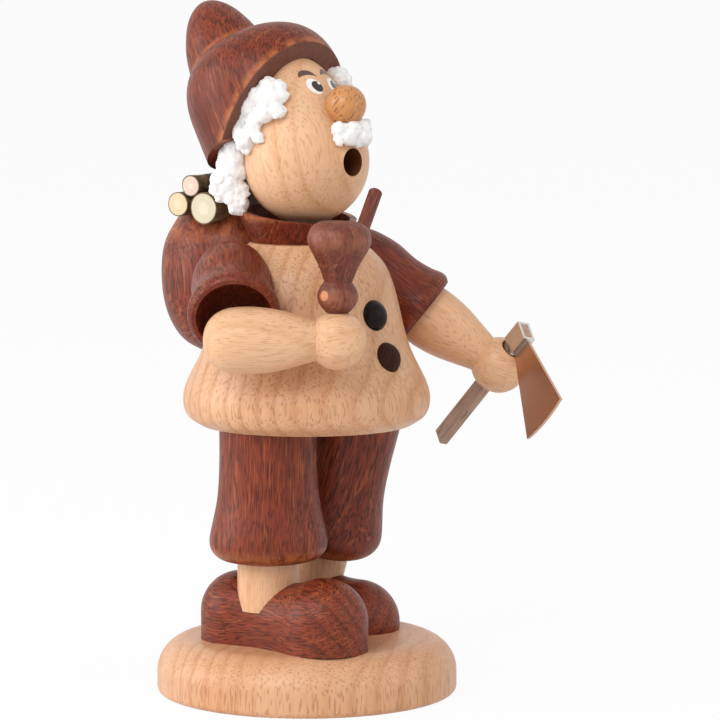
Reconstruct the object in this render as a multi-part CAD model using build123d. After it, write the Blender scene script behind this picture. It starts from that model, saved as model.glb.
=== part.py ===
from build123d import *
import math
import os

# Turned wooden smoker: a woodsman on a round foot. The figure lifts off a waist disc that carries
# the incense plate. Lengths are millimetres, angles degrees, +Z up, the figure faces -Y and the
# origin is the centre of the foot's underside.

# Fits
glue_gap = 0.05             # round a glued peg, on the radius
loose_gap = 0.3             # round a piece that lifts out, on the radius
soft_gap = 0.3              # between fleece and the wood beside it
overrun = 1.0               # how far a cutter runs past its piece

# Foot
base_radius = 35.0
base_thickness = 13.0
base_top_round = 8.0
base_foot_round = 1.6

# Shoes, each two balls joined by a waist, straight-sided below and cut flat underneath
heel_radius = 9.3
toe_radius = 10.05
heel_to_toe = 25.2
shoe_waist_sweep = 30.0     # radius of the hollow between the two balls
shoe_axis_height = 6.6      # axis above the foot, under the ankle
shoe_skirt = 16.0           # height of the straight sides, before the cut
shoe_turn = 4.0             # degrees, both toes towards the figure's left
shoe_shifts = (0.95, 0.15)  # right and left shoe, sideways from the ankle
shoe_dowel_radius = 2.5
shoe_dowel_bite = 4.5       # into the foot and into the shoe

# Legs
leg_spacing = 26.4          # between the two leg axes
leg_height = 50.0           # from the foot's top to the coat's hem
right_leg_back = -0.4       # Y of the right leg
left_stride = 8.5           # how far the left ankle trails the right one
left_leg_lean = 18.8        # degrees, top forward
ankle_radius = 7.2
ankle_set_back = 2.2        # from the shoe's waist towards its heel
ankle_seat_height = 1.5     # above the shoe's axis
ankle_peg_radius = 3.6
ankle_peg_length = 2.2
trouser_radius = 13.55
trouser_bottom = 19.2       # above the foot
trouser_stock = 38.0        # turned length before the top is cut level
leg_dowel_radius = 2.5
leg_dowel_bite = 4.0
leg_dowel_side = 9.5
trouser_shares = [(0, 0.605), (0.021, 0.83), (0.058, 0.95), (0.1, 1), (0.158, 0.996), (0.237, 0.952),
                  (0.368, 0.878), (0.5, 0.843), (1, 0.834)]

# Coat, hollow from below
coat_height = 42.2
coat_radius = 28.7
coat_shares = [(0, 0.857), (0.045, 0.955), (0.149, 1), (0.28, 0.937), (0.4, 0.85), (0.592, 0.767),
               (0.79, 0.692), (0.89, 0.62), (0.955, 0.53), (1, 0.453)]
chamber_wall = 11.7         # round the smoke chamber, at the coat's widest place
chamber_roof = 17.2         # from the chamber's end up to the coat's top
flue_step = 5.0             # how much narrower the flue is than the chamber
flue_roof = 7.2             # from the flue's end up to the coat's top

# Waist disc and what stands on it
disc_thickness = 6.0
plate_margin = 7.5          # from the plate's rim to the chamber's wall
plate_thickness = 0.5
plate_rim_height = 1.6
nail_head_radius = 1.6
nail_head_height = 0.6
nail_radius = 0.7
nail_length = 5.0

# Collar
collar_radius = 14.0
collar_wall = 1.5
collar_stock = 9.6
collar_height = 6.4         # at its axis, after the slanted cut
collar_slant = 8.0
collar_back = 2.4
collar_shares = [(0, 0.786), (0.42, 0.93), (0.8, 1), (1, 0.99)]
collar_inner_shares = [(0, 0.762), (0.42, 0.91), (0.8, 1), (1, 1)]

# Head
head_radius = 14.6
head_rise = 18.8            # ball centre above the coat
crown_height = 25.2
head_tilt = 16.0
crown_shares = [(0, 1), (0.154, 0.979), (0.308, 0.918), (0.462, 0.829), (0.615, 0.719), (0.769, 0.589),
                (0.9, 0.4), (1, 0)]
neck_radius = 6.0
neck_bite = 6.2             # how far the neck spigot goes into the coat
smoke_radius = 3.5
mouth_radius = 3.2
mouth_rise = 0.2
mouth_side = 0.5            # towards the figure's left
nose_radius = 4.65
nose_front = 12.6
nose_rise = 13.2            # above the head ball's centre
nose_peg_radius = 1.4
nose_peg_length = 4.0

# Hat: a turned cap with its face cut off at a slant, and a separate peak
hat_radius = 18.6
hat_dome = 17.6             # dome height above the cap's widest place
hat_skirt = 7.6             # turned length below it
hat_squareness = 2.7        # 2 is a ball, more is squarer
hat_tilt = 30.0
hat_back = 11.5
hat_rise = 12.5             # above the head ball's centre
hat_face_tilt = 66.5
hat_face_drop = 5.4         # from the cap's widest place down to the face cut
seam_tilt = 47.0
seam_drop = 1.0             # the flat's distance below the dome's height
peak_length = 18.7
peak_radius = 10.3
peak_tilt = 32.0
peak_back = 23.4
peak_rise = 19.9            # lower end of its axis above the head ball's centre
peak_shares = [(0, 1), (0.309, 0.905), (0.454, 0.84), (0.598, 0.74), (0.753, 0.6), (0.876, 0.43),
               (0.96, 0.24), (1, 0)]

# Sleeves: places measured out and forward from the coat's widest place and down from its top
sleeve_radius = 10.5
sleeve_length = 28.5
sleeve_shares = [(0, 0.914), (0.028, 0.972), (0.07, 1), (0.14, 0.952), (0.245, 0.89), (0.32, 0.867),
                 (0.49, 0.886), (0.63, 0.848), (0.807, 0.705), (0.93, 0.42), (1, 0)]
cuff_depth = 8.8
cuff_radius = 8.6
cuff_shares = [(0, 1), (0.28, 0.945), (0.52, 0.84), (0.8, 0.6), (0.95, 0.3), (1, 0)]
right_cuff_out = 4.0
right_cuff_front = -19.8
right_cuff_drop = 14.6
right_sleeve_direction = (-0.63, -0.67, -0.39)
left_cuff_out = 2.1
left_cuff_front = -20.35
left_cuff_drop = 18.4
left_sleeve_direction = (0.50, -0.60, -0.63)
seat_side_share = 0.627     # of the coat's radius
seat_tilt = 10.0
seat_back = 2.6
seat_drop = 7.6             # below the coat's top
seat_radius = 10.5
arm_dowel_radius = 2.0
arm_dowel_length = 8.0

# Forearms and hands
forearm_radius = 7.55
forearm_length = 25.3
wrist_radius = 4.6
forearm_shares = [(0, 0.61), (0.13, 0.73), (0.288, 0.874), (0.486, 0.985), (0.66, 1), (0.842, 0.88),
                  (0.95, 0.58), (1, 0)]
wrist_peg_radius = 2.0
wrist_peg_length = 2.6
hand_radius = 6.6
right_hand_out = -9.58
right_hand_front = -0.85
right_hand_drop = 19.35
right_forearm_direction = (0.68, -0.73, 0)
left_hand_out = 12.95
left_hand_front = -5.75
left_hand_drop = 30.35
left_forearm_direction = (0.50, -0.66, -0.56)

# Pipe
bead_height = 6.8
bead_radius = 4.6
bead_shares = [(0, 0.57), (0.13, 0.75), (0.52, 1), (0.86, 0.83), (1, 0.69)]
pipe_height = 20.2
pipe_radius = 7.15
pipe_seat = 6.35            # above the hand's centre
pipe_shares = [(0, 0.44), (0.24, 0.61), (0.46, 0.83), (0.69, 1), (0.85, 0.94), (0.95, 0.79), (1, 0.6)]
pipe_direction = (0.02, -0.022, 1)
pipe_peg_radius = 1.9
pipe_peg_length = 4.0
stem_radius = 1.58
stem_length = 30.4
stem_foot_height = 3.2      # where it crosses the bowl's axis
stem_tip_round = 0.4
stem_direction = (0.64, 0.21, 0.74)

# Buttons
button_radius = 3.5
button_height = 2.7
button_edge = 0.6
button_peg_radius = 1.2
button_peg_length = 2.5
button_height_shares = (0.628, 0.40)      # of the coat's height
button_seat_shares = (0.742, 0.838)       # of the coat's radius
button_tilts = (14.0, 20.0)
button_turns = (0.0, 4.0)

# Basket and its logs
basket_height = 33.0
basket_radius = 17.4
basket_back = 22.0
basket_drop = 27.2          # of its foot, below the coat's top
basket_tilt = 3.4
basket_shares = [(0, 0.402), (0.088, 0.69), (0.294, 0.935), (0.588, 1), (0.85, 0.9), (1, 0.72)]
basket_dowel_radius = 2.5
basket_dowel_length = 12.0
basket_dowel_drop = 14.2    # below the coat's top
log_radii = (2.42, 2.8, 3.7)              # upper, rear and front log
log_lengths = (32.0, 34.0, 34.0)
log_sides = (16.2, 17.0, 16.0)            # near ends
log_rear_back = 25.0
log_rear_height = 8.4                     # above the coat's top
log_front_back = 17.6
log_front_height = 7.7
log_headings = (9.75, 9.5, 10.0)
log_gap = 0.3

# Axe
axe_handle_direction = (-0.052, -0.713, 0.699)
axe_blade_direction = (-0.33, -0.646, -0.687)
handle_width = 4.0
handle_thickness = 2.0
handle_below = 27.4         # from the hand's centre
hand_bore_radius = 2.7
eye_wall = 0.6
eye_seat_gap = 0.5          # between the folded eye and the rim of the hand's bore
eye_length = 6.1
blade_root_length = 5.5
blade_thickness = 0.7
blade_reach = 23.4          # from the handle's axis to the edge
blade_edge_top = 15.7
blade_edge_bottom = 0.9
blade_bow = 0.7

# Fleece
right_tuft = (-12.9, 2.6, 12.9)           # from the head ball's centre
right_tuft_size = (4.6, 6.2, 5.6)
nape_tuft = (-13.2, 11.6, -2.8)
left_nape_tuft = (13.2, 11.6, -2.8)
nape_tuft_size = (4.3, 5.2, 8.6)
left_tuft = (12.7, 2.2, 15.2)
left_tuft_size = (4.4, 6.0, 6.4)
moustache_place = (0, -15.3, 7.2)
moustache_size = (5.0, 2.5, 3.4)

# Derived sizes
hem = base_thickness + leg_height
coat_top = hem + coat_height
chamber_radius = coat_radius - chamber_wall
plate_radius = chamber_radius - plate_margin
head_height = coat_top + head_rise
head_centre = (0, 0, head_height)


def unit(direction):
    """The direction with length one."""
    return Vector(*direction).normalized()


def at(place, direction=(0, 0, 1), x_direction=None):
    """A plane at a place whose Z runs along a direction."""
    return Plane(origin=place, x_dir=x_direction, z_dir=unit(direction))


def leaned(angle):
    """A direction leaned from +Z towards +Y."""
    return (0, math.sin(math.radians(angle)), math.cos(math.radians(angle)))


def rod(plane, radius, length):
    """A cylinder from a plane's origin along its Z."""
    return plane * Cylinder(radius, length, align=(Align.CENTER, Align.CENTER, Align.MIN))


def slab(plane, width, thickness, length):
    """A bar from a plane's origin along its Z."""
    return plane * Box(width, thickness, length, align=(Align.CENTER, Align.CENTER, Align.MIN))


def spun(points):
    """A solid turned about Z from a smooth side through points given as (radius, height)."""
    side = [Vector(r, 0, z) for r, z in points]
    start = (side[1] - side[0]).normalized()
    end = (side[-1] - side[-2]).normalized()
    if points[0][0] == 0:
        start = Vector(1, 0, 0)
    if points[-1][0] == 0:
        end = Vector(-1, 0, 0)
    foot = Vector(0, 0, points[0][1])
    top = Vector(0, 0, points[-1][1])
    edges = [Spline(*side, tangents=(start, end), tangent_scalars=(1, 1)), Line(top, foot)]
    if points[0][0] > 0:
        edges.append(Line(foot, side[0]))
    if points[-1][0] > 0:
        edges.append(Line(side[-1], top))
    return revolve(make_face(edges), Axis.Z)


def turned(length, radius, shares, grow=0):
    """A turned solid from (length share, radius share) points, grown outwards where asked."""
    points = []
    for z, r in shares:
        end_growth = grow if r == 0 else 0
        points.append((radius * r + (0 if r == 0 else grow), length * z + end_growth))
    return spun(points)


def ball(place, radius):
    """A ball at a place."""
    return Pos(*place) * Sphere(radius)


def ellipsoid(place, radii):
    """A ball scaled to three half sizes."""
    return Pos(*place) * scale(Sphere(1), by=radii)


def save(shape, node):
    """Write one node's solids."""
    export_step(shape, "parts/" + node + ".step")


def base():
    """Round foot with two dowel holes."""
    body = rod(Plane.XY, base_radius, base_thickness)
    rims = body.edges().filter_by(GeomType.CIRCLE).sort_by(Axis.Z)
    body = fillet(rims[-1], base_top_round)
    rims = body.edges().filter_by(GeomType.CIRCLE).sort_by(Axis.Z)
    body = fillet(rims[0], base_foot_round)
    return body - [dowel_hole(leg) for leg in LEGS]


def shoe_form(lean):
    """A shoe along Y, its waist at the origin and its toe towards -Y: turned above, straight-sided below."""
    reach = (heel_to_toe ** 2 + (toe_radius + shoe_waist_sweep) ** 2 - (heel_radius + shoe_waist_sweep) ** 2)
    toe_side = reach / (2 * heel_to_toe)
    heel_side = heel_to_toe - toe_side
    sweep_height = math.sqrt((toe_radius + shoe_waist_sweep) ** 2 - toe_side ** 2)
    sweep_centre = Vector(0, sweep_height)
    toe = Vector(-toe_side, 0)
    heel = Vector(heel_side, 0)
    toe_join = toe + (sweep_centre - toe).normalized() * toe_radius
    heel_join = heel + (sweep_centre - heel).normalized() * heel_radius
    waist = Vector(0, sweep_height - shoe_waist_sweep)
    toe_side_point = toe + Vector(-1, 1).normalized() * toe_radius
    heel_side_point = heel + Vector(1, 1).normalized() * heel_radius
    toe_end = toe - Vector(toe_radius, 0)
    heel_end = heel + Vector(heel_radius, 0)
    outline = [ThreePointArc(toe_end, toe_side_point, toe_join), ThreePointArc(toe_join, waist, heel_join),
               ThreePointArc(heel_join, heel_side_point, heel_end), Line(heel_end, toe_end)]
    half = make_face(outline)
    down = Vector(-math.sin(math.radians(lean)), 0, -math.cos(math.radians(lean)))
    lower = extrude(half + mirror(half, Plane.XZ), shoe_skirt, dir=down)
    return Rot(0, 0, 90) * (revolve(half, Axis.X) + lower)


class Leg:
    """Places of one leg: its axis leans about the point where trousers and ankle meet."""

    def __init__(self, side, back, lean, shift):
        self.lean = lean
        self.axis = leaned(-lean)
        self.ankle_top = Vector(side * leg_spacing / 2, back, base_thickness + trouser_bottom)
        self.ankle_length = self.run_to(base_thickness + shoe_axis_height + ankle_seat_height)
        self.ankle_foot = self.ankle_top - unit(self.axis) * self.ankle_length
        along = Vector(0, -self.axis[2], self.axis[1])
        self.shoe_place = (self.ankle_foot - unit(self.axis) * ankle_seat_height + along * ankle_set_back
                           + Vector(shift, 0, 0))
        self.dowel_foot = Vector(self.shoe_place.X, self.shoe_place.Y, base_thickness - shoe_dowel_bite)
        self.waist = self.ankle_top + unit(self.axis) * self.run_to(hem) * -1

    def run_to(self, height):
        """Distance along the axis from the ankle's top down to a height."""
        return (self.ankle_top.Z - height) / self.axis[2]


def dowel_hole(leg):
    """The hole that a shoe dowel sits in."""
    foot = leg.dowel_foot - Vector(0, 0, glue_gap)
    return rod(at(foot), shoe_dowel_radius + glue_gap, 2 * (shoe_dowel_bite + glue_gap))


def shoe(leg):
    """One shoe, bored for its ankle and its dowel."""
    body = Pos(*leg.shoe_place) * Rot(leg.lean, 0, 0) * Rot(0, 0, shoe_turn) * shoe_form(leg.lean)
    body -= Pos(0, 0, base_thickness) * Box(4 * base_radius, 4 * base_radius, 2 * base_thickness,
                                            align=(Align.CENTER, Align.CENTER, Align.MAX))
    socket_foot = leg.ankle_foot - unit(leg.axis) * (ankle_peg_length + glue_gap)
    spotface = rod(at(leg.ankle_foot, leg.axis), ankle_radius + glue_gap, 2 * toe_radius)
    socket = rod(at(socket_foot, leg.axis), ankle_peg_radius + glue_gap, 2 * toe_radius)
    return body - [spotface, socket, dowel_hole(leg)]


def ankle(leg):
    """A turned ankle with a peg at each end."""
    body = rod(at(leg.ankle_foot, leg.axis), ankle_radius, leg.ankle_length)
    peg_foot = leg.ankle_foot - unit(leg.axis) * ankle_peg_length
    peg_length = leg.ankle_length + 2 * ankle_peg_length
    return body + rod(at(peg_foot, leg.axis), ankle_peg_radius, peg_length)


def leg_dowel(leg, grow):
    """A dowel between one trouser leg and the waist disc."""
    side = math.copysign(leg_dowel_side, leg.waist.X)
    foot = (side, leg.waist.Y, hem - leg_dowel_bite - grow)
    return rod(at(foot), leg_dowel_radius + grow, 2 * (leg_dowel_bite + grow))


def trouser(leg):
    """One trouser leg, cut level under the coat."""
    body = at(leg.ankle_top, leg.axis) * turned(trouser_stock, trouser_radius, trouser_shares)
    above = Pos(0, 0, hem) * Box(4 * coat_radius, 4 * coat_radius, coat_height,
                                 align=(Align.CENTER, Align.CENTER, Align.MIN))
    socket = rod(at(leg.ankle_top, leg.axis), ankle_peg_radius + glue_gap, ankle_peg_length + glue_gap)
    return body - [above, socket, leg_dowel(leg, glue_gap)]


def waist_disc():
    """Disc that plugs loosely into the coat and carries the incense plate."""
    body = rod(at((0, 0, hem)), chamber_radius - loose_gap, disc_thickness)
    cuts = [leg_dowel(leg, glue_gap) for leg in LEGS]
    nail_foot = (0, 0, hem + disc_thickness + plate_thickness - nail_length - glue_gap)
    cuts.append(rod(at(nail_foot), nail_radius + glue_gap, nail_length))
    return body - cuts


def incense_plate():
    """Pressed tin dish that the cone stands on."""
    foot = hem + disc_thickness
    dish = rod(at((0, 0, foot)), plate_radius, plate_rim_height)
    dish -= rod(at((0, 0, foot + plate_thickness)), plate_radius - plate_thickness, plate_rim_height)
    return dish - rod(at((0, 0, foot - overrun)), nail_radius + glue_gap, 2 * overrun + plate_thickness)


def plate_nail():
    """Nail that fixes the dish to the disc."""
    head_foot = hem + disc_thickness + plate_thickness
    head = rod(at((0, 0, head_foot)), nail_head_radius, nail_head_height)
    return head + rod(at((0, 0, head_foot - nail_length)), nail_radius, nail_length)


class Arm:
    """Places of one arm, from the milled seat on the coat to the hand."""

    def __init__(self, side, cuff, sleeve_direction, hand, forearm_direction):
        self.side = side
        self.cuff = self.place(*cuff)
        self.sleeve_direction = unit(sleeve_direction)
        self.hand = self.place(*hand)
        self.forearm_direction = unit(forearm_direction)
        self.seat = Vector(side * seat_side_share * coat_radius, seat_back, coat_top - seat_drop)
        tilt = math.radians(seat_tilt)
        self.seat_direction = Vector(side * math.cos(tilt), 0, math.sin(tilt))
        wrist_depth = math.sqrt(hand_radius ** 2 - wrist_radius ** 2)
        self.wrist = self.hand - self.forearm_direction * wrist_depth

    def place(self, out, front, drop):
        """A point measured from the coat's widest place and top."""
        return Vector(self.side * (coat_radius + out), -coat_radius - front, coat_top - drop)

    def forearm_plane(self):
        """Plane at the wrist, Z towards the elbow."""
        return at(self.wrist, self.forearm_direction * -1)


def seat_cutter(arm):
    """The milled recess that a sleeve sits in."""
    return rod(at(arm.seat, arm.seat_direction), seat_radius, coat_radius)


def arm_dowel(arm, grow):
    """Dowel between the coat and a sleeve."""
    foot = arm.seat - arm.seat_direction * (arm_dowel_length / 2 + grow)
    return rod(at(foot, arm.seat_direction), arm_dowel_radius + grow, arm_dowel_length + 2 * grow)


def forearm_form(arm, grow=0):
    """The turned forearm without its peg."""
    return arm.forearm_plane() * turned(forearm_length, forearm_radius, forearm_shares, grow)


def sleeve(arm):
    """A turned sleeve, hollowed at the cuff and cut flat against its seat."""
    plane = at(arm.cuff, arm.sleeve_direction * -1)
    body = plane * turned(sleeve_length, sleeve_radius, sleeve_shares)
    inner = at(arm.seat, arm.seat_direction * -1) * Box(
        4 * coat_radius, 4 * coat_radius, 2 * coat_radius, align=(Align.CENTER, Align.CENTER, Align.MIN))
    hollow = plane * turned(cuff_depth, cuff_radius, cuff_shares)
    mouth = rod(at(arm.cuff + arm.sleeve_direction * overrun, arm.sleeve_direction * -1), cuff_radius, overrun)
    seated_coat = coat_form() - seat_cutter(arm)
    return body - [inner, seated_coat, hollow, mouth, arm_dowel(arm, glue_gap), forearm_form(arm, glue_gap)]


def forearm(arm):
    """A forearm with its wrist peg."""
    body = forearm_form(arm)
    peg_foot = arm.wrist + arm.forearm_direction * wrist_peg_length
    return body + rod(at(peg_foot, arm.forearm_direction * -1), wrist_peg_radius, 2 * wrist_peg_length)


def hand(arm):
    """A ball cut flat at the wrist and bored for the forearm's peg."""
    body = ball(arm.hand, hand_radius)
    flat = rod(arm.forearm_plane(), 2 * hand_radius, hand_radius)
    peg_end = arm.wrist + arm.forearm_direction * (wrist_peg_length + glue_gap)
    hole = rod(at(peg_end, arm.forearm_direction * -1), wrist_peg_radius + glue_gap, 2 * wrist_peg_length)
    return body - [flat, hole]


def button_seat(index):
    """Place of a button on the coat's front."""
    tilt = math.radians(button_tilts[index])
    place = (0, -button_seat_shares[index] * coat_radius, hem + button_height_shares[index] * coat_height)
    return Rot(0, 0, button_turns[index]) * at(place, (0, -math.cos(tilt), math.sin(tilt))).location


def button(index):
    """A domed button with a peg."""
    crown = (button_radius ** 2 + (button_height - button_edge) ** 2) / (2 * (button_height - button_edge))
    body = rod(Plane.XY, button_radius, button_height) & ball((0, 0, button_height - crown), crown)
    peg = rod(at((0, 0, -button_peg_length)), button_peg_radius, button_peg_length + button_edge)
    return button_seat(index) * (body + peg)


def button_cutter(index):
    """Spot face and peg hole of a button."""
    face = rod(Plane.XY, button_radius + glue_gap, button_height)
    depth = button_peg_length + glue_gap
    hole = rod(at((0, 0, -depth)), button_peg_radius + glue_gap, depth + overrun)
    return button_seat(index) * (face + hole)


def coat_form():
    """The coat's outside."""
    return Pos(0, 0, hem) * turned(coat_height, coat_radius, coat_shares)


def basket_dowel(grow):
    """Dowel between the coat and the basket."""
    foot = (0, seat_side_share * coat_radius - grow, coat_top - basket_dowel_drop)
    return rod(at(foot, (0, 1, 0)), basket_dowel_radius + grow, basket_dowel_length + 2 * grow)


def coat():
    """Coat with its smoke chamber, flue, neck bore, sleeve seats and button holes."""
    cuts = [rod(at((0, 0, hem - overrun)), chamber_radius, coat_height - chamber_roof + overrun),
            rod(at((0, 0, hem)), chamber_radius - flue_step, coat_height - flue_roof),
            rod(at((0, 0, coat_top - flue_roof - overrun)), neck_radius + glue_gap, coat_height)]
    for arm in ARMS:
        cuts += [seat_cutter(arm), arm_dowel(arm, glue_gap)]
    cuts += [button_cutter(0), button_cutter(1), basket_dowel(glue_gap)]
    return coat_form() - cuts


def collar_form():
    """The collar's outside, cut off at a slant."""
    body = Pos(0, collar_back, coat_top) * turned(collar_stock, collar_radius, collar_shares)
    slant = Plane(origin=(0, collar_back, coat_top + collar_height), z_dir=leaned(-collar_slant))
    return body - rod(slant, 2 * collar_radius, collar_stock)


def collar():
    """Flared ring on top of the coat."""
    inner = Pos(0, collar_back, coat_top) * turned(
        collar_stock, collar_radius - collar_wall, collar_inner_shares)
    return collar_form() - inner


def head_form(grow=0):
    """A ball that narrows upwards along a leaned axis."""
    side = []
    for z, r in crown_shares:
        side.append(Vector(head_radius * r + (grow if r else 0), 0, crown_height * z + (0 if r else grow)))
    radius = head_radius + grow
    bottom = Vector(0, 0, -radius)
    cheek = Vector(radius, 0, -radius) * math.sin(math.pi / 4)
    crown = Spline(*side, tangents=((0, 0, 1), (-1, 0, 0)), tangent_scalars=(1, 1))
    edges = [ThreePointArc(bottom, cheek, side[0]), crown, Line(side[-1], bottom)]
    return at(head_centre, leaned(head_tilt)) * revolve(make_face(edges), Axis.Z)


def nose_plane():
    """Plane at the nose's centre, Z towards the head's axis."""
    tilt = math.radians(head_tilt)
    return at((0, -nose_front, head_height + nose_rise), (0, math.cos(tilt), -math.sin(tilt)))


def head():
    """Head with its neck spigot, smoke channel and mouth."""
    neck_foot = coat_top - neck_bite
    body = head_form() + rod(at((0, 0, neck_foot)), neck_radius, head_rise + neck_bite)
    channel = rod(at((0, 0, neck_foot - overrun)), smoke_radius, head_rise + neck_bite + overrun + mouth_rise)
    mouth_foot = (mouth_side, 0, head_height + mouth_rise)
    mouth = rod(at(mouth_foot, (0, -1, 0)), mouth_radius, 2 * head_radius)
    channel_end = ball(mouth_foot, smoke_radius)
    peg_hole = rod(nose_plane(), nose_peg_radius + glue_gap, nose_radius + nose_peg_length + glue_gap)
    return body - [channel, mouth, channel_end, peg_hole]


def nose():
    """A ball coped to the face, with a peg."""
    body = ball(nose_plane().origin, nose_radius) - head_form()
    return body + rod(nose_plane(), nose_peg_radius, nose_radius + nose_peg_length)


def hat_centre():
    """Middle of the cap's widest place."""
    return Vector(0, hat_back, head_height + hat_rise)


def seam_plane():
    """Flat between the cap and its peak."""
    place = hat_centre() + unit(leaned(seam_tilt)) * (hat_dome - seam_drop)
    return at(place, leaned(seam_tilt))


def hat_form():
    """The cap's outside with its slanted face cut, without the flat for the peak."""
    points = [(hat_radius, -hat_skirt), (hat_radius, -hat_skirt / 2)]
    steps = 9
    for step in range(steps + 1):
        height = hat_dome * math.sin(math.pi / 2 * step / steps)
        share = 1 - (height / hat_dome) ** hat_squareness
        points.append((hat_radius * max(share, 0) ** (1 / hat_squareness), height))
    body = at(hat_centre(), leaned(hat_tilt)) * spun(points)
    face_place = hat_centre() - unit(leaned(hat_face_tilt)) * hat_face_drop
    front = at(face_place, Vector(*leaned(hat_face_tilt)) * -1) * Box(
        4 * hat_radius, 4 * hat_radius, 4 * hat_radius, align=(Align.CENTER, Align.CENTER, Align.MIN))
    return body - front


def hat_cap():
    """Cap bored to fit over the head."""
    return hat_form() - [rod(seam_plane(), 2 * hat_radius, hat_dome), head_form(loose_gap)]


def hat_peak():
    """Turned tip on the cap's flat."""
    place = (0, peak_back, head_height + peak_rise)
    body = at(place, leaned(peak_tilt)) * turned(peak_length, peak_radius, peak_shares)
    below = at(seam_plane().origin, seam_plane().z_dir * -1)
    return body - rod(below, 2 * hat_radius, peak_length)


def tuft(place, size):
    """A plain lump of fleece, clear of the wood beside it."""
    lump = ellipsoid(Vector(*place) + Vector(*head_centre), size)
    lump -= [head_form(soft_gap), hat_form(), ball(nose_plane().origin, nose_radius + soft_gap)]
    lump -= [log(index, soft_gap) for index in range(len(log_radii))]
    return lump.solids().sort_by(SortBy.VOLUME)[-1]


def pipe_plane():
    """Foot of the pipe, Z up its axis."""
    return at(ARMS[0].hand + Vector(0, 0, pipe_seat), pipe_direction)


def stem(grow=0):
    """The pipe's mouthpiece."""
    body = rod(at(pipe_plane().offset(stem_foot_height).origin, stem_direction), stem_radius + grow, stem_length)
    return body if grow else fillet(body.edges().sort_by(Axis.Z)[-1], stem_tip_round)


def pipe_bowl():
    """Turned bead and plain bowl with a peg, drilled for the stem."""
    body = turned(bead_height, bead_radius, bead_shares)
    body += Pos(0, 0, bead_height) * turned(pipe_height - bead_height, pipe_radius, pipe_shares)
    body += rod(at((0, 0, -pipe_peg_length)), pipe_peg_radius, 2 * pipe_peg_length)
    return pipe_plane() * body - stem(glue_gap)


def pipe_hand():
    """Right hand, bored on top for the pipe's peg."""
    depth = pipe_peg_length + glue_gap
    hole = rod(pipe_plane().offset(-depth), pipe_peg_radius + glue_gap, 2 * depth)
    return hand(ARMS[0]) - hole


def axe_plane():
    """Plane through the left hand: X along the blade, Z up the handle."""
    up = unit(axe_handle_direction)
    blade = unit(axe_blade_direction)
    blade = (blade - up * blade.dot(up)).normalized()
    return Plane(origin=ARMS[1].hand, x_dir=blade, z_dir=up)


def eye_bottom():
    """Lower end of the axe's eye, measured up the handle from the hand's centre."""
    return math.sqrt(hand_radius ** 2 - hand_bore_radius ** 2) + eye_seat_gap


def hand_bore():
    """The bore right through the left hand."""
    return rod(axe_plane().offset(-2 * hand_radius), hand_bore_radius, 4 * hand_radius)


def axe_handle():
    """Flat handle."""
    length = handle_below + eye_bottom() + eye_length
    return slab(axe_plane().offset(-handle_below), handle_width, handle_thickness, length)


def axe_head():
    """Sheet steel folded round the handle, with a flared blade."""
    eye_width = handle_width + 2 * eye_wall
    eye_thickness = handle_thickness + 2 * eye_wall
    bottom = eye_bottom()
    eye = slab(axe_plane().offset(bottom), eye_width, eye_thickness, eye_length)
    slot = slab(axe_plane().offset(-handle_below), handle_width, handle_thickness, 2 * handle_below)
    middle = (blade_edge_top + blade_edge_bottom) / 2
    root = handle_width / 2
    root_top = bottom + blade_root_length
    outline = [Line((root, bottom), (root, root_top)), Line((root, root_top), (blade_reach, blade_edge_top)),
               ThreePointArc((blade_reach, blade_edge_top), (blade_reach + blade_bow, middle),
                             (blade_reach, blade_edge_bottom)),
               Line((blade_reach, blade_edge_bottom), (root, bottom))]
    plane = axe_plane()
    sheet_plane = Plane(origin=plane.origin, x_dir=plane.x_dir, z_dir=plane.x_dir.cross(plane.z_dir))
    sheet = extrude(sheet_plane * make_face(outline), blade_thickness / 2, both=True)
    return eye + sheet - slot


def log_places():
    """Back and height of the logs' near ends: the upper one lies in the groove between the other two."""
    rear = Vector(log_rear_back, coat_top + log_rear_height)
    front = Vector(log_front_back, coat_top + log_front_height)
    to_front = log_radii[0] + log_radii[2] + log_gap
    to_rear = log_radii[0] + log_radii[1] + log_gap
    apart = (rear - front).length
    along = (to_front ** 2 - to_rear ** 2 + apart ** 2) / (2 * apart)
    across = (rear - front).normalized()
    upper = front + across * along + Vector(-across.Y, across.X) * math.sqrt(to_front ** 2 - along ** 2)
    return (upper, rear, front)


def log(index, grow=0):
    """One branch on top of the basket."""
    heading = math.radians(log_headings[index])
    place = log_places()[index]
    plane = at((-log_sides[index], place.X, place.Y), (math.cos(heading), math.sin(heading), 0))
    return rod(plane.offset(-grow), log_radii[index] + grow, log_lengths[index] + 2 * grow)


def basket():
    """Turned basket, coped to the coat and bedded under the logs."""
    body = at((0, basket_back, coat_top - basket_drop), leaned(basket_tilt)) * turned(
        basket_height, basket_radius, basket_shares)
    return body - [coat_form(), collar_form(), log(0), log(1), log(2), basket_dowel(glue_gap)]


LEGS = (Leg(-1, right_leg_back, 0, shoe_shifts[0]),
        Leg(1, right_leg_back + left_stride, left_leg_lean, shoe_shifts[1]))
ARMS = (Arm(-1, (right_cuff_out, right_cuff_front, right_cuff_drop), right_sleeve_direction,
            (right_hand_out, right_hand_front, right_hand_drop), right_forearm_direction),
        Arm(1, (left_cuff_out, left_cuff_front, left_cuff_drop), left_sleeve_direction,
            (left_hand_out, left_hand_front, left_hand_drop), left_forearm_direction))


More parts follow.
